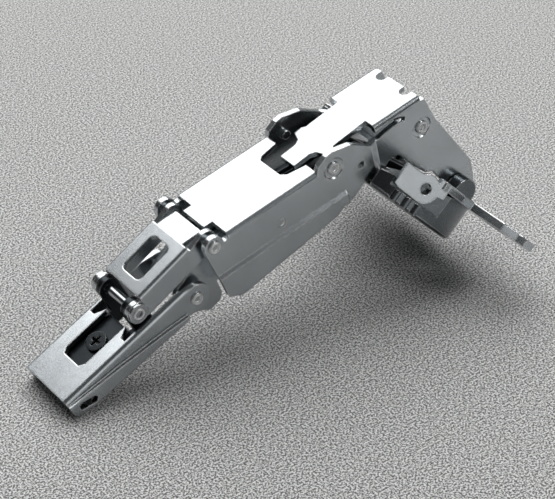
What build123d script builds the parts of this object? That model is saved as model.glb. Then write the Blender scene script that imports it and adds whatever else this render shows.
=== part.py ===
import os
from math import atan2, cos, degrees, hypot, radians, sin

from build123d import *

# A wide-angle concealed hinge in its fully open pose, as it stands on a table like an arch.
# X runs from the arm towards the cup, Y across the hinge and Z up. Sizes are in millimetres.

# Sheet, pins and gaps
sheet = 1.2
window_sheet = 1.1
pin_d = 2.0
running_fit = 0.05
head_d = 2.8
head_rise = 0.3
rear_head_d = 4.2
rear_head_rise = 0.5
side_gap = 0.1
clear_gap = 0.3

# Pivots of the linkage seen from the near side, as distances along X and up Z
rear_pivot = (-32.8, 16.6)
lever_pivot = (-20.04, 14.63)
link_pivot = (-16.62, 25.93)
cross_pivot = (-0.7, 24.57)
tail_pivot = (-11.02, 22.98)
hump_rivet = (11.9, 32.0)
spring_pivot = (35.2, 31.7)

# Arm
arm_tilt = 26.0
arm_width = 14.2
arm_rear = 21.3
arm_top_drop = 3.45
arm_depth = 5.5
arm_step = 0.7
arm_nose_r = 3.2
slot_start = 14.45
slot_end = 2.8
slot_half = 2.4
slot_wide_half = 3.25
strip_slant = 2.4

# Carrier, clip lever and cam inside the arm
carrier_half = 4.7
ear_r = 2.2
clip_place = (-17.7, -7.1)
clip_pin_d = 1.6
clip_travel = 1.2
cam_along = -8.6
cam_d = 4.4
cam_neck_d = 3.2

# Window link
window_half = 6.0
window_ear_r = 2.2
window_low = 2.8
window_top = 2.5
window_start = 2.1
window_bend = 14.9
window_tongue = 5.0
window_tongue_half = 4.1
window_tongue_dip = 15.0
window_length = 8.7
window_width = 5.9
window_corner_r = 1.3

# Main link
main_tilt = 13.0
main_origin = (-17.0, 26.4)
main_half = 8.45
main_narrow_half = 7.15
main_web_top = 0.45
main_front_top = 1.0
main_step_level = -8.2
main_bend_r = 1.2
main_ear_r = 2.2
neck_end_r = 4.0
neck_end_ahead = 1.3
web_start = 3.7
web_end = 25.6
tab_reach = 1.7
tab_half = 3.4
notch_start = 20.5
notch_half = 4.1
joggle_start = 38.7
joggle_end = 40.7
web_restart = 41.1
web_front = 52.8
shoulder_reach = 62.7
relief_start = 50.8
relief_inner = 2.4
relief_outer = 4.7
tongue_drop = 5.4

# Hidden lever and cup link
lever_half = 4.6
lever_r = 3.0
cross_play = 1.05
cup_link_half = 3.0
cup_link_r = 2.3
cup_play = 0.8

# Cup and its wings
cup_d = 35.0
cup_depth = 7.65
cup_tilt = 43.0
hole_line = (42.095, 13.05)
hole_offset = 9.5
hole_pitch = 45.0
screw_hole_d = 5.2
wing_reach = 32.0
wing_half = 5.2
flange_sheet = 1.7
wing_shoulder = 27.8
wing_tip_half = 2.4
cavity_half = 7.5
cup_floor = 1.0
cup_pin_along = -11.36
cup_pin_rise = 2.28
tail_pin_along = -7.63
tail_pin_depth = 1.79
lug_hole_d = 2.4
lug_r = 3.05
lug_drop = 1.9
lug_turn = 25.0
rib_drop = 5.2
rib_r = 0.75
rib_turn = 22.5
rib_pitch = 8.5


def side_plane(at, tilt, offset=0.0):
    """Sketch plane seen from the near side, its first direction along a tilted link."""
    a = radians(tilt)
    return Plane(origin=(at[0], -offset, at[1]), x_dir=(cos(a), 0, sin(a)), z_dir=(0, -1, 0))


def spot_on(at, tilt, u, v):
    """Side position of a point given along and above a tilted link."""
    a = radians(tilt)
    return (at[0] + u * cos(a) - v * sin(a), at[1] + u * sin(a) + v * cos(a))


def top_plane(at, tilt, u=0.0, v=0.0):
    """Sketch plane on the top of a tilted link, from a point u along it and v above it."""
    a = radians(tilt)
    x, z = spot_on(at, tilt, u, v)
    return Plane(origin=(x, 0, z), x_dir=(cos(a), 0, sin(a)), z_dir=(-sin(a), 0, cos(a)))


def cross_plane(at, tilt, u):
    """Sketch plane square to a tilted link: first direction across it, second up from it."""
    a = radians(tilt)
    x, z = spot_on(at, tilt, u, 0)
    return Plane(origin=(x, 0, z), x_dir=(0, 1, 0), z_dir=(cos(a), 0, sin(a)))


def along(point, at, tilt):
    """Position of a pivot as distances along and above a tilted link."""
    a = radians(tilt)
    dx = point[0] - at[0]
    dz = point[1] - at[1]
    return (dx * cos(a) + dz * sin(a), dz * cos(a) - dx * sin(a))


def slope(start, end):
    return degrees(atan2(end[1] - start[1], end[0] - start[0]))


def gap(start, end):
    return hypot(end[0] - start[0], end[1] - start[1])


def rivet(at, d, reach, head=head_d, rise=head_rise):
    """Pin right across the hinge with a dimpled head on each end."""
    with BuildPart() as made:
        with BuildSketch(Plane.XZ):
            with Locations(at):
                Circle(d / 2)
        extrude(amount=reach, both=True)
        with BuildSketch(side_plane(at, 0, reach)):
            Circle(head / 2)
        extrude(amount=rise)
        with BuildSketch(side_plane(at, 0, reach + rise)):
            Circle(head / 4)
        extrude(amount=-rise / 2, taper=20, mode=Mode.SUBTRACT)
        split(bisect_by=Plane.XZ, keep=Keep.TOP)
        mirror(about=Plane.XZ)
    return made.part


def stub_rivets(at, d, inside, reach, head=head_d, rise=head_rise):
    """Pair of short pins, one in each side wall, that leave the middle of the link free."""
    with BuildPart() as made:
        with BuildSketch(side_plane(at, 0, inside)):
            Circle(d / 2)
        extrude(amount=reach - inside)
        with BuildSketch(side_plane(at, 0, reach)):
            Circle(head / 2)
        extrude(amount=rise)
        with BuildSketch(side_plane(at, 0, reach + rise)):
            Circle(head / 4)
        extrude(amount=-rise / 2, taper=20, mode=Mode.SUBTRACT)
        mirror(about=Plane.XZ)
    return made.part


def folded_top(half, top, thick, bend_r):
    """Cross-section of a folded web, rounded along both bends, with the start of each wall."""
    with BuildSketch(mode=Mode.PRIVATE) as section:
        with Locations((0, top - (bend_r + thick) / 2)):
            Rectangle(2 * half, bend_r + thick)
        fillet(section.vertices().group_by(Axis.Y)[-1], bend_r)
        with Locations((0, top - thick - bend_r)):
            Rectangle(2 * (half - thick), 2 * bend_r, mode=Mode.SUBTRACT)
    return section.sketch


pin_r = pin_d / 2
hole_r = pin_r + running_fit
arm_half = arm_width / 2
arm_inner = arm_half - sheet
arm_side = side_plane(rear_pivot, arm_tilt)
arm_bottom = arm_top_drop + arm_depth
arm_bend_r = 1.1
arm_up = Axis((0, 0, 0), top_plane(rear_pivot, arm_tilt).z_dir)
arm_long = Axis((0, 0, 0), arm_side.x_dir)
clip_hole_d = clip_pin_d + 2 * running_fit
clip_slant = -19.0
lever_u, lever_v = along(lever_pivot, rear_pivot, arm_tilt)
cup_a = radians(cup_tilt)
cup_centre = (hole_line[0] - hole_offset * sin(cup_a), hole_line[1] + hole_offset * cos(cup_a))


def in_cup(t, depth):
    """Side position of a point given along the cup's mouth and below it."""
    x = cup_centre[0] - t * sin(cup_a) - depth * cos(cup_a)
    z = cup_centre[1] + t * cos(cup_a) - depth * sin(cup_a)
    return (x, z)


cup_pivot = in_cup(cup_pin_along, -cup_pin_rise)
cup_link_pivot = in_cup(tail_pin_along, tail_pin_depth)

# Arm shell
fold = [(-arm_rear, -4.95), (-9, -6.4), (1.8, -8.1), (7.4, -9.2)]
arm_foot = [
    (lever_u - 3.6, -arm_bottom - 0.7),
    (-arm_rear + 4.1, -arm_bottom),
    (-arm_rear + 0.5, -8.3),
    (-arm_rear, -7.05),
]
with BuildPart() as arm_shell:
    with BuildSketch(arm_side):
        Polygon(
            (-arm_rear, -arm_top_drop),
            (lever_u - 2.2, -arm_top_drop),
            (lever_u + 1.4, lever_v + 2.8),
            (lever_u + 1.4, lever_v - 2.8),
            *arm_foot,
            align=None,
        )
        with Locations((lever_u, lever_v)):
            Circle(arm_nose_r)
    extrude(amount=arm_half, both=True)
    arm_top = arm_shell.faces().filter_by(arm_up).sort_by(Axis.Z)[-1]
    fillet(arm_top.edges().filter_by(arm_long), arm_bend_r)
    with BuildSketch(arm_side):
        Polygon(
            (-arm_rear - 1, -arm_top_drop - sheet),
            (lever_u + 9, -arm_top_drop - sheet),
            (lever_u + 9, -arm_bottom - 5),
            (-arm_rear - 1, -arm_bottom - 5),
            align=None,
        )
    extrude(amount=arm_inner, both=True, mode=Mode.SUBTRACT)
    with BuildSketch(top_plane(rear_pivot, arm_tilt, 0, -arm_top_drop - 2 * sheet)):
        with BuildLine() as slot_edge:
            Polyline(
                (-slot_start, 0),
                (-slot_start, slot_half),
                (-slot_start + 1.25, slot_wide_half),
                (-slot_end, slot_wide_half),
                (-slot_end - strip_slant, slot_wide_half + 1.35),
                (-slot_end - strip_slant, arm_inner),
                (lever_u + 9, arm_inner),
                (lever_u + 9, 0),
            )
            mirror(about=Plane.XZ)
        make_face()
    extrude(amount=4 * sheet, mode=Mode.SUBTRACT)
    # The lower edge of each wall is stepped outwards below a sloping fold
    with BuildSketch(arm_side):
        Polygon(
            *[(u, v - 0.4) for u, v in fold],
            (lever_u - 3.0, -arm_bottom - 4),
            (-arm_rear - 1, -arm_bottom - 4),
            (-arm_rear - 1, fold[0][1] - 0.4),
            align=None,
        )
    extrude(amount=arm_half + 1, both=True, mode=Mode.SUBTRACT)
    with BuildSketch(side_plane(rear_pivot, arm_tilt, arm_inner + arm_step)):
        Polygon(*[(u, v + 0.3) for u, v in fold], *arm_foot, align=None)
    extrude(amount=sheet)
    mirror(about=Plane.XZ)
    with BuildSketch(arm_side):
        with Locations(clip_place):
            SlotOverall(clip_hole_d + 2 * clip_travel, clip_hole_d, rotation=clip_slant)
        with Locations((lever_u, lever_v)):
            Circle(hole_r)
    extrude(amount=arm_half + 2, both=True, mode=Mode.SUBTRACT)
arm_shell.part.label = "arm_shell"

# Inner carrier, with ears that stand up through the arm's open front
carrier_top = arm_top_drop + sheet + clear_gap
carrier_rear = 19.4
carrier_rear_web = 15.2
with BuildPart() as inner_carrier:
    with BuildSketch(arm_side):
        Polygon(
            (-carrier_rear, -carrier_top),
            (-ear_r, -carrier_top),
            (-ear_r, 0),
            (ear_r, 0),
            (ear_r, -arm_bottom + clear_gap),
            (-carrier_rear, -arm_bottom + clear_gap),
            align=None,
        )
        Circle(ear_r)
    extrude(amount=carrier_half, both=True)
    with BuildSketch(arm_side):
        Polygon(
            (-carrier_rear - 1, -carrier_top - sheet),
            (ear_r + 1, -carrier_top - sheet),
            (ear_r + 1, -arm_bottom - 1),
            (-carrier_rear - 1, -arm_bottom - 1),
            align=None,
        )
    extrude(amount=carrier_half - sheet, both=True, mode=Mode.SUBTRACT)
    with BuildSketch(top_plane(rear_pivot, arm_tilt, 0, -carrier_top - 2 * sheet)):
        with Locations((0, 0)):
            Rectangle(2 * (ear_r + 0.7), 2 * (carrier_half - sheet))
        with Locations((-carrier_rear, 0)):
            Rectangle(2 * (carrier_rear - carrier_rear_web), 2 * (carrier_half - sheet))
        with Locations((cam_along, 0)):
            Circle(cam_neck_d / 2 + running_fit)
    extrude(amount=carrier_top + 3 * sheet + ear_r, mode=Mode.SUBTRACT)
    with BuildSketch(arm_side):
        Circle(hole_r)
        with Locations(clip_place):
            Circle(clip_hole_d / 2)
    extrude(amount=carrier_half + 1, both=True, mode=Mode.SUBTRACT)
inner_carrier.part.label = "inner_carrier"

# Clip lever on its pin at the arm's rear end
clip_at = spot_on(rear_pivot, arm_tilt, *clip_place)
with BuildPart() as clip_lever:
    with BuildSketch(side_plane(clip_at, arm_tilt)):
        Polygon((-2.6, 1.4), (0.6, 1.5), (1.7, -0.3), (0.4, -1.4), (-2.6, -1.0), align=None)
        Circle(1.5)
    extrude(amount=carrier_half - sheet - clear_gap, both=True)
    with BuildSketch(side_plane(clip_at, arm_tilt)):
        Circle(clip_hole_d / 2)
    extrude(amount=carrier_half, both=True, mode=Mode.SUBTRACT)
clip_lever.part.label = "clip_lever"

with BuildPart() as clip_pin:
    with BuildSketch(side_plane(clip_at, arm_tilt)):
        Circle(clip_pin_d / 2)
    extrude(amount=arm_half + 0.4, both=True)
clip_pin.part.label = "clip_pin"

# Depth cam in the arm's slot, riveted through the carrier's web
cam_plane = top_plane(rear_pivot, arm_tilt, cam_along, -carrier_top + running_fit)
cam_height = 0.6
cam_foot = 0.8
with BuildPart() as depth_cam:
    with BuildSketch(cam_plane):
        Circle(cam_d / 2)
    extrude(amount=cam_height)
    with BuildSketch(cam_plane):
        Circle(cam_neck_d / 2)
    extrude(amount=-sheet - 2 * running_fit)
    with BuildSketch(cam_plane.offset(-sheet - 2 * running_fit)):
        Circle(cam_neck_d / 2 + 0.8)
    extrude(amount=-cam_foot)
    with BuildSketch(cam_plane.offset(cam_height)):
        Rectangle(2.4, 0.6)
        Rectangle(0.6, 2.4)
    extrude(amount=-cam_height - 0.4, mode=Mode.SUBTRACT)
depth_cam.part.label = "depth_cam"

# Pins of the arm
rear_pin = rivet(rear_pivot, pin_d, window_half + side_gap, rear_head_d, rear_head_rise)
rear_pin.label = "rear_link_pin"
front_pin = rivet(lever_pivot, pin_d, arm_half)
front_pin.label = "lever_pin"

# Window link between the arm and the main link
window_tilt = slope(rear_pivot, link_pivot)
window_run = gap(rear_pivot, link_pivot)
window_side = side_plane(rear_pivot, window_tilt)
window_inner = window_half - window_sheet
with BuildPart() as window_link:
    with BuildSketch(side_plane(rear_pivot, window_tilt, window_inner)):
        Polygon(
            (0, -window_ear_r),
            (1.4, -window_low),
            (window_run - 1.4, -window_low),
            (window_run, -window_ear_r),
            (window_run, window_ear_r),
            (window_bend, window_top - 1.0),
            (window_start, window_top - 1.0),
            (0, window_ear_r - 1),
            align=None,
        )
        with Locations((0, 0), (window_run, 0)):
            Circle(window_ear_r)
    extrude(amount=window_sheet)
    mirror(about=Plane.XZ)
    with BuildSketch(cross_plane(rear_pivot, window_tilt, window_start)):
        add(folded_top(window_half, window_top, window_sheet, 0.9))
    extrude(amount=window_bend - window_start)
    window_fold = spot_on(rear_pivot, window_tilt, window_bend - 0.4, window_top)
    with BuildSketch(top_plane(window_fold, window_tilt - window_tongue_dip)):
        with Locations((window_tongue / 2, 0)):
            Rectangle(window_tongue, 2 * window_tongue_half)
    extrude(amount=-window_sheet)
    window_centre = (window_start + window_bend) / 2 + 0.15
    with BuildSketch(top_plane(rear_pivot, window_tilt, window_centre, window_top)):
        RectangleRounded(window_length, window_width, window_corner_r)
    extrude(amount=-2 * window_sheet, mode=Mode.SUBTRACT)
    with BuildSketch(window_side):
        with Locations((0, 0), (window_run, 0)):
            Circle(hole_r)
    extrude(amount=window_half + 1, both=True, mode=Mode.SUBTRACT)
window_link.part.label = "window_link"

# Main link: one folded stamping, wide at the arm and narrow where its necks reach into the cup
main_side = side_plane(main_origin, main_tilt)
main_inner = main_half - sheet
narrow_inner = main_narrow_half - sheet
link_u, link_v = along(link_pivot, main_origin, main_tilt)
spring_u, spring_v = along(spring_pivot, main_origin, main_tilt)
hump_u, hump_v = along(hump_rivet, main_origin, main_tilt)
neck_u, neck_v = along(cup_pivot, main_origin, main_tilt)
dish = 0.3
bend_foot = main_web_top - main_bend_r
front_foot = main_front_top - main_bend_r
band_end = 31.0
floor_v = main_step_level
wall_foot = -34.0
wall_end = neck_u + 10
stepped_wall = [
    (main_half, floor_v + 0.5),
    (main_half + arm_step, floor_v - 0.2),
    (main_half + arm_step, wall_foot),
    (main_inner + arm_step, wall_foot),
    (main_inner + arm_step, floor_v - 0.5),
    (main_inner, floor_v + 0.2),
]
with BuildPart() as main_link:
    with BuildSketch(cross_plane(main_origin, main_tilt, -4)):
        Polygon((main_half, main_web_top), *stepped_wall, (main_inner, main_web_top), align=None)
        with Locations(((main_half + main_inner) / 2, main_web_top + 1.5)):
            Rectangle(sheet, 4)
    extrude(amount=band_end + 4)
    with BuildSketch(top_plane(main_origin, main_tilt, 0, wall_foot)):
        with BuildLine():
            Polyline(
                (band_end - 0.2, main_half),
                (joggle_start, main_half),
                (joggle_end, main_narrow_half),
                (wall_end, main_narrow_half),
                (wall_end, narrow_inner),
                (joggle_end - 0.4, narrow_inner),
                (joggle_start - 0.4, main_inner),
                (band_end - 0.2, main_inner),
                close=True,
            )
        make_face()
    extrude(amount=40)
    mirror(about=Plane.XZ)
    # Side outline shared by both walls
    with BuildSketch(main_side):
        Polygon(
            (link_u + main_ear_r - 0.5, bend_foot),
            (web_end - 0.1, bend_foot),
            (web_end, main_web_top),
            (26.2, 1.7),
            (28.2, 2.8),
            (29.9, 3.05),
            (34.1, 1.9),
            (36.1, 0.4),
            (38.7, -1.6),
            (40.8, -2.2),
            (web_restart, -2.2),
            (web_restart, front_foot),
            (web_front + 1.0, front_foot),
            (web_front + 2.3, -4.9),
            (web_front + 2.7, -6.4),
            (shoulder_reach, -22.7),
            (neck_u + neck_end_ahead + neck_end_r - 0.1, neck_v),
            (neck_u, neck_v),
            (55.55, -24.9),
            (53.0, -19.1),
            (50.8, -17.8),
            (48.2, -14.0),
            (46.3, -10.5),
            (45.1, -9.0),
            (42.8, -9.3),
            (41.4, -10.2),
            (37.6, -9.4),
            (35.2, -9.2),
            (32.1, -11.1),
            (29.6, -10.7),
            (27.4, -11.9),
            (3.1, -15.1),
            (0.2, -13.4),
            (-0.6, -7.9),
            (link_u - main_ear_r + 0.1, link_v - 0.8),
            (link_u, link_v),
            align=None,
        )
        with Locations((link_u, link_v)):
            Circle(main_ear_r)
        with Locations((neck_u + neck_end_ahead, neck_v)):
            Circle(neck_end_r)
    extrude(amount=12, both=True, mode=Mode.INTERSECT)
    # Rear web, notched for the tongue, with the bend along each edge
    with BuildSketch(cross_plane(main_origin, main_tilt, web_start)):
        add(folded_top(main_half, main_web_top, sheet, main_bend_r))
    extrude(amount=web_end - web_start)
    with BuildSketch(top_plane(main_origin, main_tilt, (tab_reach + web_start) / 2 + 0.1, main_web_top)):
        Rectangle(web_start - tab_reach + 0.2, 2 * tab_half)
    extrude(amount=-sheet)
    with BuildSketch(cross_plane(main_origin, main_tilt, web_restart)):
        add(folded_top(main_narrow_half, main_front_top, sheet, main_bend_r))
    extrude(amount=web_front - web_restart)
    with BuildSketch(top_plane(main_origin, main_tilt, 0, main_web_top)):
        with BuildLine():
            Polyline(
                (notch_start, -notch_half + 1.0),
                (notch_start, notch_half - 1.0),
                (notch_start + 1.0, notch_half),
                (web_end + 1, notch_half + 0.9),
                (web_end + 1, -notch_half - 0.9),
                (notch_start + 1.0, -notch_half),
                close=True,
            )
        make_face()
    extrude(amount=-2 * sheet, mode=Mode.SUBTRACT)
    # Front web's tapered tongue
    tongue_root = spot_on(main_origin, main_tilt, web_restart + 0.4, main_front_top)
    with BuildSketch(top_plane(tongue_root, main_tilt + tongue_drop)):
        with BuildLine():
            Polyline(
                (0.3, 0),
                (0.3, 4.3),
                (-8.8, 4.3),
                (-9.4, 4.9),
                (-11.3, 4.8),
                (-12.0, 2.8),
                (-13.2, 2.15),
                (-17.1, 2.15),
                (-17.1, 0),
            )
            mirror(about=Plane.XZ)
        make_face()
    extrude(amount=-sheet)
    # Rounded reliefs at the front web's corners, open to the front
    with BuildSketch(top_plane(main_origin, main_tilt, web_front, main_front_top)):
        with Locations(*[(0, way * (relief_inner + relief_outer) / 2) for way in (1, -1)]):
            SlotOverall(2 * (web_front - relief_start), relief_outer - relief_inner)
    extrude(amount=-2 * sheet, mode=Mode.SUBTRACT)
    for way in (1, -1):
        # Arched slot under the front web's bend, the pivot holes and one small hole in each wall
        with BuildSketch(side_plane(main_origin, main_tilt, way * (narrow_inner - 0.2))):
            Polygon(
                (40.0, -2.1),
                (41.4, -2.5),
                (44.1, -2.0),
                (46.8, -1.8),
                (48.4, -2.3),
                (48.7, -1.4),
                (47.0, -0.5),
                (44.5, 0.05),
                (42.4, -0.5),
                (40.0, -1.0),
                align=None,
            )
            with Locations((link_u, link_v), (hump_u, hump_v), (spring_u, spring_v), (neck_u, neck_v)):
                Circle(hole_r)
            with Locations(along(cross_pivot, main_origin, main_tilt)):
                Circle(hole_r)
            with Locations((35.7, -4.47)):
                Circle(0.75)
        extrude(amount=way * 5, mode=Mode.SUBTRACT)
        # Dished recesses round the hump's rivet and the spring pin
        for u, v, half in ((hump_u, hump_v, main_half), (spring_u, spring_v, main_narrow_half)):
            with BuildSketch(side_plane(main_origin, main_tilt, way * (half - dish))):
                with Locations((u, v)):
                    Circle(head_d / 2 + 0.7)
            extrude(amount=way, taper=-45, mode=Mode.SUBTRACT)
main_link.part.label = "main_link"

# Pins carried by the main link
link_pins = stub_rivets(link_pivot, pin_d, window_inner, main_half)
link_pins.label = "link_pins"
cross_pins = stub_rivets(cross_pivot, pin_d, cup_link_half + clear_gap, main_half - 0.4, pin_d, 0.4)
cross_pins.label = "cross_pins"
hump_rivets = stub_rivets(hump_rivet, pin_d, main_inner - 0.8, main_half - dish)
hump_rivets.label = "hump_rivets"
spring_pin = rivet(spring_pivot, pin_d, main_narrow_half - dish)
spring_pin.label = "spring_pin"

# Closing spring coiled on the spring pin, both legs lying back inside the main link
wire_r = 0.4
coil_r = pin_r + wire_r + 0.15
coil_half = 4.25
leg_run = 6.0
coil_a = radians(main_tilt)
coil_plane = Plane(
    origin=(spring_pivot[0], coil_half, spring_pivot[1]),
    x_dir=(sin(coil_a), 0, -cos(coil_a)),
    z_dir=(0, -1, 0),
)
with BuildPart() as coil_in_place:
    with BuildLine() as coil:
        Helix(pitch=1.0, height=2 * coil_half, radius=coil_r)
    with BuildSketch(Plane(origin=coil.line @ 0, z_dir=coil.line % 0)):
        Circle(wire_r)
    sweep(is_frenet=True)
    for end, way in ((0, -1), (1, 1)):
        with BuildSketch(Plane(origin=coil.line @ end, z_dir=(coil.line % end) * way)):
            Circle(wire_r)
        extrude(amount=leg_run)
closing_spring = coil_in_place.part.moved(coil_plane.location)
closing_spring.label = "closing_spring"

# Hidden inner lever: two plates joined by a web under their tab
lever_tilt = slope(lever_pivot, cross_pivot)
lever_run = gap(lever_pivot, cross_pivot)
tail_u, tail_v = along(tail_pivot, lever_pivot, lever_tilt)
cross_r = pin_r + cross_play
with BuildPart() as inner_lever:
    with BuildSketch(side_plane(lever_pivot, lever_tilt)):
        Polygon(
            (-0.6, 3.1),
            (tail_u - 0.5, tail_v + lever_r),
            (tail_u + 1.0, tail_v + lever_r - 0.2),
            (lever_run + 0.8, 3.5),
            (lever_run + 0.8, -3.5),
            (tail_u, -3.0),
            (5.6, -3.2),
            (5.3, -6.6),
            (4.2, -7.8),
            (1.4, -8.1),
            (-0.6, -5.8),
            (-2.6, -1.6),
            align=None,
        )
        with Locations((0, 0)):
            Circle(3.15)
        with Locations((tail_u, tail_v)):
            Circle(lever_r)
        with Locations((lever_run, 0)):
            Circle(cross_r + 1.25)
    extrude(amount=lever_half, both=True)
    with BuildSketch(side_plane(lever_pivot, lever_tilt)):
        with Locations((lever_run / 2, 3.4)):
            Rectangle(2 * lever_run, 20.6)
    extrude(amount=lever_half - sheet, both=True, mode=Mode.SUBTRACT)
    with BuildSketch(side_plane(lever_pivot, lever_tilt)):
        with Locations((0, 0), (tail_u, tail_v)):
            Circle(hole_r)
        with Locations((lever_run, 0)):
            Circle(cross_r)
    extrude(amount=lever_half + 1, both=True, mode=Mode.SUBTRACT)
inner_lever.part.label = "inner_lever"

with BuildPart() as tail_pin:
    with BuildSketch(Plane.XZ):
        with Locations(tail_pivot):
            Circle(pin_r)
    extrude(amount=lever_half, both=True)
tail_pin.part.label = "tail_pin"

# Hidden cup link: a cranked pair of plates from the lever into the cup
link_tail = along(tail_pivot, main_origin, main_tilt)
link_end = along(cup_link_pivot, main_origin, main_tilt)
link_knee = (38.0, -6.7)
cup_eye_r = pin_r + cup_play
with BuildPart() as cup_link:
    with BuildSketch(side_plane(main_origin, main_tilt)):
        with BuildLine():
            Line(link_tail, link_knee)
            Line(link_knee, link_end)
        trace(line_width=2 * cup_link_r)
        with Locations(link_tail, link_knee):
            Circle(cup_link_r)
        with Locations(link_end):
            Circle(cup_eye_r + 1.1)
    extrude(amount=cup_link_half, both=True)
    with BuildSketch(side_plane(main_origin, main_tilt)):
        with Locations(link_knee):
            Rectangle(2 * gap(link_tail, link_end), 2 * gap(link_tail, link_end))
    extrude(amount=cup_link_half - sheet, both=True, mode=Mode.SUBTRACT)
    with BuildSketch(side_plane(main_origin, main_tilt)):
        Polygon((13, -4.3), (34, -5.3), (34, -7.6), (13, -6.6), align=None)
    extrude(amount=cup_link_half, both=True)
    with BuildSketch(side_plane(main_origin, main_tilt)):
        with Locations(link_tail):
            Circle(hole_r)
        with Locations(link_end):
            Circle(cup_eye_r)
    extrude(amount=cup_link_half + 1, both=True, mode=Mode.SUBTRACT)
cup_link.part.label = "cup_link"

# Cup: a cast body, open towards the arm for the necks of the main link
cup_r = cup_d / 2
cup_top = Plane(
    origin=(cup_centre[0], 0, cup_centre[1]),
    x_dir=(-sin(cup_a), 0, cos(cup_a)),
    z_dir=(cos(cup_a), 0, sin(cup_a)),
)
cup_side = Plane(origin=cup_top.origin, x_dir=cup_top.x_dir, z_dir=(0, 1, 0))
boss_half = 3.2
boss_out = 10.2
wall_open = 9.4
inner_lug_in = cup_link_half + clear_gap
lug_low = lug_drop + lug_r
lug_sheet = 1.0
flat_out = cup_r - lug_sheet - 0.2
lug_a = radians(lug_turn)
lug_face = Plane(
    origin=cup_top.from_local_coords(Vector(cup_r * sin(lug_a), cup_r * cos(lug_a), 0)),
    x_dir=cup_top.y_dir * sin(lug_a) - cup_top.x_dir * cos(lug_a),
    z_dir=cup_top.x_dir * sin(lug_a) + cup_top.y_dir * cos(lug_a),
)
with BuildPart() as cup_body:
    with BuildSketch(cup_top):
        Circle(cup_r)
    extrude(amount=-cup_depth)
    chamfer(cup_body.faces().sort_by(Axis((0, 0, 0), cup_top.z_dir))[0].edges(), 0.5)
    # Bosses that carry the cup pins stand above the mouth beside the necks
    with BuildSketch(cup_side.offset(0)):
        with Locations((cup_pin_along, cup_pin_rise)):
            Circle(boss_half)
        with Locations((cup_pin_along, cup_pin_rise / 2 - 1)):
            Rectangle(2 * boss_half, cup_pin_rise + 2)
    extrude(amount=boss_out, both=True)
    with BuildSketch(cup_side):
        Polygon(
            (-cup_r + 1.6, boss_half + cup_pin_rise + 1),
            (-cup_r + 1.6, -cup_depth + cup_floor),
            (cup_r + 1, -cup_depth + cup_floor),
            (cup_r + 1, boss_half + cup_pin_rise + 1),
            align=None,
        )
        Polygon((-cup_r - 1, -3.4), (-cup_r + 2, -4.2), (-cup_r + 2, 6), (-cup_r - 1, 6), align=None)
    extrude(amount=cavity_half, both=True, mode=Mode.SUBTRACT)
    # The side towards the arm is open to the bottom, and its rim runs lower
    with BuildSketch(cup_side):
        with Locations((11.2 + cup_r, -cup_depth / 2)):
            Rectangle(2 * cup_r, 2 * cup_depth)
    extrude(amount=wall_open, both=True, mode=Mode.SUBTRACT)
    with BuildSketch(cup_side):
        Polygon((0, 0), (cup_r + 1, -(cup_r + 1) / 4), (cup_r + 1, 2), (0, 2), align=None)
    extrude(amount=cup_r + 1, both=True, mode=Mode.SUBTRACT)
    # Inner lugs for the cup link's pin rise from the floor
    with BuildSketch(cup_side.offset(-inner_lug_in - sheet)):
        with Locations((tail_pin_along, -tail_pin_depth)):
            Circle(2.9)
        with Locations((tail_pin_along, -(tail_pin_depth + cup_depth - 0.5) / 2)):
            Rectangle(5.8, cup_depth - 0.5 - tail_pin_depth)
    extrude(amount=sheet)
    with BuildSketch(cup_side.offset(inner_lug_in)):
        with Locations((tail_pin_along, -tail_pin_depth)):
            Circle(2.9)
        with Locations((tail_pin_along, -(tail_pin_depth + cup_depth - 0.5) / 2)):
            Rectangle(5.8, cup_depth - 0.5 - tail_pin_depth)
    extrude(amount=sheet)
    with BuildSketch(cup_side):
        with Locations((cup_pin_along, cup_pin_rise), (tail_pin_along, -tail_pin_depth)):
            Circle(hole_r)
    extrude(amount=cavity_half + 2.2, both=True, mode=Mode.SUBTRACT)
    # The wall is flattened under the lug plate on each side, and has ribs below it
    for way in (1, -1):
        flat = Plane(
            origin=cup_top.from_local_coords(
                Vector(flat_out * sin(lug_a), way * flat_out * cos(lug_a), -lug_low - 0.2)
            ),
            x_dir=cup_top.z_dir,
            z_dir=cup_top.x_dir * sin(lug_a) + cup_top.y_dir * way * cos(lug_a),
        )
        with BuildSketch(flat):
            with Locations((lug_low / 2 + 0.6, 0)):
                Rectangle(lug_low + 1.2, 16)
        extrude(amount=4, mode=Mode.SUBTRACT)
        for turn in [radians(rib_turn + k * rib_pitch) for k in range(3)]:
            with BuildSketch(cup_top.offset(-rib_drop)):
                with Locations(Location((cup_r * sin(turn), way * cup_r * cos(turn), 0))):
                    Circle(rib_r)
            extrude(amount=rib_drop - cup_depth)
cup_body.part.label = "cup_body"

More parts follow.
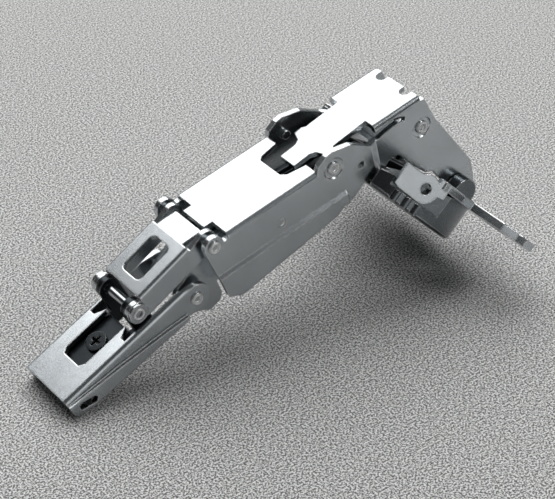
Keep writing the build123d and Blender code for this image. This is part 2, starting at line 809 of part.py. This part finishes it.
# Flange: one wing each side with a screw hole, and a lug plate bent down beside the cup
screw_y = hole_pitch / 2
wing_along = -hole_offset
with BuildPart() as flange:
    with BuildSketch(cup_top):
        Polygon(
            (wing_along - wing_half, boss_out + 0.1),
            (wing_along - wing_half, wing_shoulder),
            (wing_along - wing_tip_half, wing_shoulder + 2.4),
            (wing_along - wing_tip_half, wing_reach - 0.8),
            (wing_along - wing_tip_half + 0.8, wing_reach),
            (wing_along + wing_tip_half - 0.8, wing_reach),
            (wing_along + wing_tip_half, wing_reach - 0.8),
            (wing_along + wing_tip_half, wing_shoulder + 2.4),
            (wing_along + wing_half, wing_shoulder),
            (wing_along + wing_half, 19.0),
            (-1.5, 18.2),
            (4.9, 17.5),
            (4.1, 15.4),
            (-3.0, 15.2),
            (-4.0, 8.4),
            (-7.4, 8.4),
            (-7.9, boss_out + 0.1),
            align=None,
        )
    extrude(amount=flange_sheet)
    with BuildSketch(lug_face):
        with BuildLine():
            Polyline(
                (4.6, flange_sheet),
                (1.9, flange_sheet),
                (1.9, 0.3),
                (-6.4, 0.3),
                (-6.4, 0.6 - lug_low),
                (-5.2, 0.2 - lug_low),
                (0, -lug_low),
                (0, -lug_drop),
                (lug_r, -lug_drop),
                (4.6, 0.3 - lug_drop),
                close=True,
            )
        make_face()
        with Locations((0, -lug_drop)):
            Circle(lug_r)
            Circle(lug_hole_d / 2, mode=Mode.SUBTRACT)
    extrude(amount=-lug_sheet)
    with BuildSketch(cup_top):
        with Locations((wing_along, screw_y)):
            Circle(screw_hole_d / 2)
    extrude(amount=2 * flange_sheet, mode=Mode.SUBTRACT)
    mirror(about=Plane.XZ)
flange.part.label = "flange"

# Pins of the cup
with BuildPart() as cup_pins:
    with BuildSketch(side_plane(cup_pivot, 0, narrow_inner - 0.1)):
        Circle(pin_r)
    extrude(amount=cavity_half + 2.1 - narrow_inner)
    mirror(about=Plane.XZ)
cup_pins.part.label = "cup_pins"
with BuildPart() as cup_link_pin:
    with BuildSketch(side_plane(cup_link_pivot, 0)):
        Circle(pin_r)
    extrude(amount=inner_lug_in + sheet, both=True)
cup_link_pin.part.label = "cup_link_pin"

os.makedirs("parts", exist_ok=True)
pieces = [
    arm_shell.part,
    inner_carrier.part,
    clip_lever.part,
    clip_pin.part,
    depth_cam.part,
    rear_pin,
    front_pin,
    window_link.part,
    main_link.part,
    link_pins,
    cross_pins,
    hump_rivets,
    spring_pin,
    closing_spring,
    inner_lever.part,
    tail_pin.part,
    cup_link.part,
    cup_body.part,
    flange.part,
    cup_pins.part,
    cup_link_pin.part,
]
for piece in pieces:
    export_step(piece, f"parts/{piece.label}.step")
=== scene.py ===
from math import radians

import bmesh
import bpy
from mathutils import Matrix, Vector


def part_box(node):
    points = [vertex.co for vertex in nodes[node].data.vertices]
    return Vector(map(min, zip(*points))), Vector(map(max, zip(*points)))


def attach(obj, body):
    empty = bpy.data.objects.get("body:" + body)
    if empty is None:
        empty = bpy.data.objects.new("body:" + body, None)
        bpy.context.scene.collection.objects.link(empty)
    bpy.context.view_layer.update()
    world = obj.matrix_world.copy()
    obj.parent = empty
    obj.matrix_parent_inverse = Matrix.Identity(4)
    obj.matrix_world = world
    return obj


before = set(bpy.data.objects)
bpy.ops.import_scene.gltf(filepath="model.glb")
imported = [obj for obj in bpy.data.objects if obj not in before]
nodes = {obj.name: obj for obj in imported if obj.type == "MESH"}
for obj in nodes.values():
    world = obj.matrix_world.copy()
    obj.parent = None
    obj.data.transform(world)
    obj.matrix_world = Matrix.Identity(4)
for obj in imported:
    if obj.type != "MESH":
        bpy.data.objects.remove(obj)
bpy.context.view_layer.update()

# Arm shell
# A channel folded from sheet steel and nickel plated, open below, with a slot in its top for the
# adjusters and a stepped lower edge. It clips to a plate on the cabinet's side.
MM = 0.001


def linear(code):
    """Linear colour, with alpha, of an sRGB hex value such as "C8CACB"."""
    values = [int(code[i : i + 2], 16) / 255 for i in (0, 2, 4)]
    return [v / 12.92 if v <= 0.04045 else ((v + 0.055) / 1.055) ** 2.4 for v in values] + [1.0]


def add(tree, kind, settings=None, links=None):
    """Adds a node, sets its properties and sockets, and links outputs to its sockets."""
    node = tree.nodes.new(kind)
    for name, value in (settings or {}).items():
        if isinstance(name, int) or name in node.inputs:
            node.inputs[name].default_value = value
        else:
            setattr(node, name, value)
    for name, output in (links or {}).items():
        tree.links.new(output, node.inputs[name])
    return node


# The span that noise mostly keeps to, and how far in from an edge the plate is rounded and painted
# brighter, as rubbed plate and a painted highlight
noise_span = {"From Min": 0.3, "From Max": 0.7}
rubbed_and_highlit_edge = 0.4 * MM


def plated(name, colour, worn_and_highlit, roughness, grain_mm, grain_depth_mm, speckle=0.12, cloud_mm=9.0):
    """Nickel plate over steel: a cool metal, cloudy over centimetres and finely grained, with
    brighter metal along its edges, partly plate rubbed by handling and partly a painted highlight.
    The real grain is under a tenth of a millimetre wide, too fine to show, so grain_mm draws it
    coarser."""
    material = bpy.data.materials.new(name)
    material.use_nodes = True
    tree = material.node_tree
    shader = tree.nodes["Principled BSDF"]
    shader.inputs["Metallic"].default_value = 1.0
    place = add(tree, "ShaderNodeTexCoord")
    cloud = add(
        tree,
        "ShaderNodeTexNoise",
        {"Scale": 1 / (cloud_mm * MM), "Detail": 3.0, "Roughness": 0.6},
        {"Vector": place.outputs["Object"]},
    )
    grain = add(
        tree,
        "ShaderNodeTexNoise",
        {"Scale": 1 / (grain_mm * MM), "Detail": 2.0, "Roughness": 0.7},
        {"Vector": place.outputs["Object"]},
    )
    # The rounded and the flat normal agree on a face and part company at its edges
    rounded = add(tree, "ShaderNodeBevel", {"samples": 4, "Radius": rubbed_and_highlit_edge})
    flat = add(tree, "ShaderNodeNewGeometry")
    agreement = add(
        tree,
        "ShaderNodeVectorMath",
        {"operation": "DOT_PRODUCT"},
        {0: rounded.outputs["Normal"], 1: flat.outputs["Normal"]},
    )
    edge = add(
        tree,
        "ShaderNodeMapRange",
        {"From Min": 0.995, "From Max": 0.9, "To Min": 0.0, "To Max": 1.0},
        {"Value": agreement.outputs["Value"]},
    )
    # Near white at the edges: partly rubbed plate, partly a painted highlight
    tone = add(
        tree,
        "ShaderNodeMix",
        {"data_type": "RGBA", 6: linear(colour), 7: linear(worn_and_highlit)},
        {0: edge.outputs["Result"]},
    )
    cloud_shade = add(
        tree,
        "ShaderNodeMapRange",
        {**noise_span, "To Min": 0.9, "To Max": 1.08},
        {"Value": cloud.outputs["Fac"]},
    )
    grain_shade = add(
        tree,
        "ShaderNodeMapRange",
        {**noise_span, "To Min": 1.0 - speckle, "To Max": 1.0 + speckle},
        {"Value": grain.outputs["Fac"]},
    )
    shade = add(
        tree,
        "ShaderNodeMath",
        {"operation": "MULTIPLY"},
        {0: cloud_shade.outputs["Result"], 1: grain_shade.outputs["Result"]},
    )
    shaded_tone = add(
        tree,
        "ShaderNodeVectorMath",
        {"operation": "SCALE"},
        {0: tone.outputs[2], "Scale": shade.outputs["Value"]},
    )
    gloss = add(
        tree,
        "ShaderNodeMapRange",
        {**noise_span, "To Min": roughness * 0.92, "To Max": roughness * 1.12},
        {"Value": grain.outputs["Fac"]},
    )
    bump = add(
        tree,
        "ShaderNodeBump",
        {"Strength": 1.0, "Distance": grain_depth_mm * MM},
        {"Height": grain.outputs["Fac"], "Normal": rounded.outputs["Normal"]},
    )
    tree.links.new(shaded_tone.outputs["Vector"], shader.inputs["Base Color"])
    tree.links.new(gloss.outputs["Result"], shader.inputs["Roughness"])
    tree.links.new(bump.outputs["Normal"], shader.inputs["Normal"])
    return material


def coat(material, *names):
    """Puts one finish on whole pieces of the frame."""
    for name in names:
        slots = nodes[name].data.materials
        slots.clear()
        slots.append(material)


# Cold-rolled steel under bright nickel: faces that turn to a lamp flare almost white, and the
# rest reads as an even cool grey with a faint speckle
rolled_sheet = plated(
    "nickel_plated_rolled_sheet",
    colour="BEC3C6",
    worn_and_highlit="F8F9F9",
    roughness=0.24,
    grain_mm=0.3,
    grain_depth_mm=0.0025,
    speckle=0.09,
)
coat(rolled_sheet, "arm_shell")

# Inner carrier, clip lever and depth cam
# A narrower folded channel slides inside the arm. The sprung lever at its rear end clips it to
# the plate on the cabinet, and the cast cam in the slot sets its depth.

# The same plate, painted a dull, dark grey: painted shade for the pieces that sit in the shade
# inside the arm and the main link
painted_shade_sheet = plated(
    "nickel_plate_painted_shade",
    colour="33373A",
    worn_and_highlit="8E9294",
    roughness=0.3,
    grain_mm=0.4,
    grain_depth_mm=0.008,
)
coat(painted_shade_sheet, "inner_carrier", "clip_lever")

# Die-cast zinc, painted the darkest grey in the hinge: painted shade for the cam down in its slot.
# The steel pin of the clip gets the same painted shade.
cam_zinc = plated(
    "zinc_cam_painted_shade",
    colour="2C2F31",
    worn_and_highlit="747677",
    roughness=0.26,
    grain_mm=0.3,
    grain_depth_mm=0.006,
)
coat(cam_zinc, "depth_cam", "clip_pin")

# Window link
# A short folded channel of the same plated sheet as the arm, with a square window punched in its
# top. It turns on the rear link pin and carries the main link.
coat(rolled_sheet, "window_link")

# Main link
# A long channel of plated sheet, blanked and folded, with stepped side walls and two necks that
# reach down into the cup.
coat(rolled_sheet, "main_link")

# Inner lever and cup link
# Two stamped pieces inside the main link, which turn the cup as the door closes. The lever keeps
# the bright sheet that shows between the links, and the cup link, in the shade inside, gets the
# dark sheet of painted shade.
coat(rolled_sheet, "inner_lever")
coat(painted_shade_sheet, "cup_link")

# Rivets and pins
# Turned steel, plated after turning, pushed through the sheets and headed over them. On the
# heads that show, the riveting tool leaves a raised ring.

# Smoother than the sheet, so each head catches small bright lights
turned_pin = plated(
    "nickel_plated_turned_pin",
    colour="B8BCBE",
    worn_and_highlit="F6F7F7",
    roughness=0.16,
    grain_mm=0.3,
    grain_depth_mm=0.004,
    speckle=0.06,
    cloud_mm=3.0,
)
coat(
    turned_pin,
    "rear_link_pin",
    "lever_pin",
    "link_pins",
    "cross_pins",
    "hump_rivets",
    "spring_pin",
    "tail_pin",
    "cup_pins",
    "cup_link_pin",
)

# Painted highlight: paler than the head and satin, so the ring shows as a light line
painted_highlight_ring = plated(
    "painted_highlight_ring",
    colour="F2F3F3",
    worn_and_highlit="FFFFFF",
    roughness=0.5,
    grain_mm=0.3,
    grain_depth_mm=0.002,
    speckle=0.02,
    cloud_mm=3.0,
)
ring_radius = 1.0 * MM
ring_section_radius = 0.24 * MM
ring_section_steps = 10
ring_turn_steps = 28
weld_gap = 0.001 * MM


def head_rings(name, body):
    """The raised ring on both heads of a pin, half sunk in the head."""
    low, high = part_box(name)
    middle = (Vector(low) + Vector(high)) / 2
    mesh = bpy.data.meshes.new(name + "_rings")
    shape = bmesh.new()
    for side in (low[1], high[1]):
        start = shape.verts.new((middle.x + ring_radius + ring_section_radius, side, middle.z))
        bmesh.ops.spin(
            shape,
            geom=[start],
            cent=(middle.x + ring_radius, side, middle.z),
            axis=(0, 0, 1),
            angle=radians(360),
            steps=ring_section_steps,
        )
    bmesh.ops.remove_doubles(shape, verts=shape.verts, dist=weld_gap)
    bmesh.ops.spin(
        shape,
        geom=shape.edges[:],
        cent=middle,
        axis=(0, 1, 0),
        angle=radians(360),
        steps=ring_turn_steps,
    )
    bmesh.ops.remove_doubles(shape, verts=shape.verts, dist=weld_gap)
    bmesh.ops.recalc_face_normals(shape, faces=shape.faces)
    for face in shape.faces:
        face.smooth = True
    shape.to_mesh(mesh)
    shape.free()
    mesh.materials.append(painted_highlight_ring)
    rings = bpy.data.objects.new(name + "_rings", mesh)
    bpy.context.scene.collection.objects.link(rings)
    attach(rings, body)


for name, body in (
    ("rear_link_pin", "arm"),
    ("lever_pin", "arm"),
    ("link_pins", "main"),
    ("hump_rivets", "main"),
    ("spring_pin", "main"),
):
    head_rings(name, body)

# Closing spring
# A coil of drawn steel wire on the spring pin, with two legs that push the door shut. It is oiled
# and not plated, so it reads darker than the pieces round it.
spring_wire = plated(
    "oiled_spring_wire",
    colour="55585B",
    worn_and_highlit="A5A8AA",
    roughness=0.28,
    grain_mm=0.25,
    grain_depth_mm=0.004,
)
coat(spring_wire, "closing_spring")

# Cup
# A zinc casting with ribs on its outer wall, pressed into a round hole in the door. The plate
# follows the casting's skin, which is rougher than rolled sheet and mottled, and its dark mid grey
# is painted shade for the shadow the hinge casts on the cup.
cast_plate = plated(
    "nickel_plated_casting",
    colour="6C7174",
    worn_and_highlit="E2E4E4",
    roughness=0.24,
    grain_mm=0.45,
    grain_depth_mm=0.02,
    speckle=0.2,
)
coat(cast_plate, "cup_body")

# Flange with its wings and lug plates
# One piece of plated sheet round the cup's rim, with a screw wing and a lug plate on each side.
# The screws through its wings hold the cup to the door.
coat(rolled_sheet, "flange")

# Floor
# A pale card with a coarse grain lies flat under the hinge. It is so large that its edges stay
# out of view.
floor_reach = 3.0
floor_mesh = bpy.data.meshes.new("floor")
floor_mesh.from_pydata(
    [
        (-floor_reach, -floor_reach, 0),
        (floor_reach, -floor_reach, 0),
        (floor_reach, floor_reach, 0),
        (-floor_reach, floor_reach, 0),
    ],
    [],
    [(0, 1, 2, 3)],
)
floor = bpy.data.objects.new("floor", floor_mesh)
bpy.context.scene.collection.objects.link(floor)

# Matt pressed card: its grain reads as a salt and pepper speckle. The fibres are about a tenth of
# a millimetre wide, too fine to show, and are drawn coarser.
card_grain = 0.4 * MM
card_dark, card_light = linear("5C5C5B"), linear("F0F0EF")
card = bpy.data.materials.new("grained_card")
card.use_nodes = True
tree = card.node_tree
place = add(tree, "ShaderNodeTexCoord")
fibre = add(
    tree,
    "ShaderNodeTexNoise",
    {"Scale": 1 / card_grain, "Detail": 3.0, "Roughness": 0.7},
    {"Vector": place.outputs["Object"]},
)
# The card looks smoother towards its back, so the contrast of its grain falls off along this
# level direction, from 60 mm in front of the middle to 140 mm behind it
towards_back = (0.607, 0.795, 0.0)
depth = add(
    tree,
    "ShaderNodeVectorMath",
    {"operation": "DOT_PRODUCT", 1: towards_back},
    {0: place.outputs["Object"]},
)
contrast = add(
    tree,
    "ShaderNodeMapRange",
    {"From Min": -0.06, "From Max": 0.14, "To Min": 9.0, "To Max": 3.2},
    {"Value": depth.outputs["Value"]},
)
mid_tone = 0.5
centred = add(
    tree,
    "ShaderNodeMath",
    {"operation": "SUBTRACT", 1: mid_tone},
    {0: fibre.outputs["Fac"]},
)
spread = add(
    tree,
    "ShaderNodeMath",
    {"operation": "MULTIPLY_ADD", 2: mid_tone},
    {0: centred.outputs["Value"], 1: contrast.outputs["Result"]},
)
tint = add(
    tree,
    "ShaderNodeMix",
    {"data_type": "RGBA", 6: card_dark, 7: card_light},
    {0: spread.outputs["Value"]},
)
shader = tree.nodes["Principled BSDF"]
shader.inputs["Roughness"].default_value = 0.9
tree.links.new(tint.outputs[2], shader.inputs["Base Color"])
floor_mesh.materials.append(card)

# World and lamps
# A dim studio, lighter overhead than at the horizon, with three lamps: a wide one above and behind
# for the tops of the links, a weak one in front for the near sides, and a small one high on the
# right for the edges and the heads of the rivets.
horizon, zenith = linear("6E7072"), linear("E2E3E4")
world = bpy.data.worlds.new("studio")
bpy.context.scene.world = world
world.use_nodes = True
tree = world.node_tree
sky = add(tree, "ShaderNodeTexCoord")
parts = add(tree, "ShaderNodeSeparateXYZ", links={0: sky.outputs["Generated"]})
air = add(
    tree,
    "ShaderNodeMix",
    {"data_type": "RGBA", 6: horizon, 7: zenith},
    {0: parts.outputs["Z"]},
)
background = tree.nodes["Background"]
background.inputs["Strength"].default_value = 0.14
tree.links.new(air.outputs[2], background.inputs["Color"])

# Each lamp is square and faces the middle of the hinge: its direction from there, its distance
# and its side in metres, and its power in watts
lamp_aim = Vector((0.0, 0.0, 0.02))
lamps = {
    "overhead_lamp": {"way": (0.24, 0.57, 0.78), "away": 0.9, "side": 1.1, "watts": 11.0},
    "front_lamp": {"way": (0.0, -1.0, 0.2), "away": 0.8, "side": 0.4, "watts": 0.5},
    "edge_lamp": {"way": (0.49, -0.59, 0.64), "away": 0.9, "side": 0.22, "watts": 1.1},
}
for name, setup in lamps.items():
    lamp = bpy.data.lights.new(name, "AREA")
    lamp.shape = "SQUARE"
    lamp.size = setup["side"]
    lamp.energy = setup["watts"]
    holder = bpy.data.objects.new(name, lamp)
    way = Vector(setup["way"]).normalized()
    holder.location = lamp_aim + setup["away"] * way
    holder.rotation_euler = way.to_track_quat("Z", "Y").to_euler()
    bpy.context.scene.collection.objects.link(holder)

# Camera
# A long lens looks down on the hinge's near side from beyond the arm's rear end, as in the
# photograph.
sensor_mm = 36.0
focal_mm = 129.73
camera_at_mm = (-190.59, -255.63, 246.33)
looks_down_deg = 36.18
turned_right_deg = 37.37
lens = bpy.data.cameras.new("camera")
lens.sensor_width = sensor_mm
lens.lens = focal_mm
camera = bpy.data.objects.new("camera", lens)
camera.location = Vector(camera_at_mm) * MM
camera.rotation_euler = (radians(90 - looks_down_deg), 0.0, radians(-turned_right_deg))
bpy.context.scene.collection.objects.link(camera)
bpy.context.scene.camera = camera
bpy.context.scene.view_settings.view_transform = "Standard"
